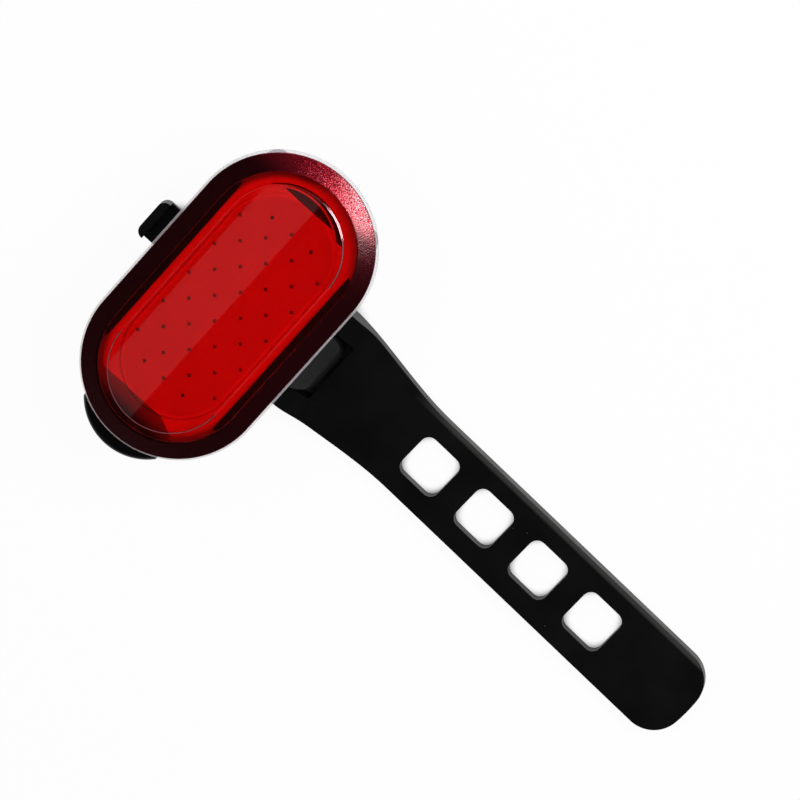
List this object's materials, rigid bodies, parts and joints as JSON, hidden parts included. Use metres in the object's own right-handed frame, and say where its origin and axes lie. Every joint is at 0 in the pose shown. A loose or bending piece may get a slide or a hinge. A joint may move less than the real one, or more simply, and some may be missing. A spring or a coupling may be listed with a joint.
{
  "type": "bicycle rear light",
  "caption": "Oval red rear light for a bicycle with a rubber strap, a saddle pad for the seatpost, an end button and a covered charging port.",
  "frame": {"origin": "on the axis of the seatpost that the saddle pad sits on, at the middle of the lamp", "axes": "+Z out through the lens, +Y along the lamp and the seatpost, +X towards the strap"},
  "size_m": [0.1341, 0.0677, 0.0213],
  "materials": {
    "pad_rubber": "matte",
    "bracket_plastic": "fine grain",
    "screw_steel": "zinc plated",
    "pin_steel": "turned",
    "strap_rubber": "matte",
    "housing_plastic": "fine grain",
    "seal_rubber": "smooth",
    "clear_plastic": "polished",
    "red_lens": "polished, with a fine texture inside the bevel",
    "diffuser_plastic": "satin",
    "tray_plastic": "smooth",
    "rail_plastic": "smooth",
    "board_resin": "solder mask",
    "led_resin": "smooth",
    "chip_resin": "moulded",
    "cell_foil": "foil",
    "foam": "open cell",
    "tab_nickel": "rolled",
    "socket_steel": "drawn",
    "tongue_plastic": "moulded",
    "switch_plastic": "moulded",
    "plunger_plastic": "moulded",
    "button_rubber": "satin",
    "cover_rubber": "matte"
  },
  "bodies": {
    "lamp": {"saddle_pad": "pad_rubber", "mount_bracket": "bracket_plastic", "bracket_screws": "screw_steel", "strap_pin": "pin_steel", "rear_housing": "housing_plastic", "rim_seal": "seal_rubber", "clear_ring": "clear_plastic", "front_lens": "red_lens", "dotted_panel": "diffuser_plastic", "reflector_tray": "tray_plastic", "side_rails": "rail_plastic", "circuit_board": "board_resin", "led_chips": "led_resin", "controller_chip": "chip_resin", "charger_chip": "chip_resin", "charge_indicator": "led_resin", "battery_cell": "cell_foil", "battery_foam": "foam", "battery_tabs": "tab_nickel", "socket_shell": "socket_steel", "socket_tongue": "tongue_plastic", "switch_body": "switch_plastic"},
    "strap": {"strap": "strap_rubber"},
    "power_button": {"power_button": "button_rubber"},
    "switch_plunger": {"switch_plunger": "plunger_plastic"},
    "port_cover": {"port_cover": "cover_rubber"}
  },
  "joints": [
    {"name": "strap_hinge", "type": "hinge", "parent": "lamp", "child": "strap", "pos_m": [0.017, 0, 0.01029], "axis": [0, 1, 0], "range_deg": [-55, 90]},
    {"name": "button_press", "type": "slide", "parent": "lamp", "child": "power_button", "axis": [0, 1, 0], "range_m": [0, 0.0006], "stiffness_N_per_m": 2500},
    {"name": "plunger_press", "type": "slide", "parent": "lamp", "child": "switch_plunger", "axis": [0, 1, 0], "range_m": [0, 0.00025]},
    {"name": "cover_hinge", "type": "hinge", "parent": "lamp", "child": "port_cover", "pos_m": [0, 0.03035, 0.0187], "axis": [-1, 0, 0], "range_deg": [0, 110]}
  ],
  "couplings": [
    {"joint": "plunger_press", "follows": "button_press", "ratio": 0.41667}
  ]
}
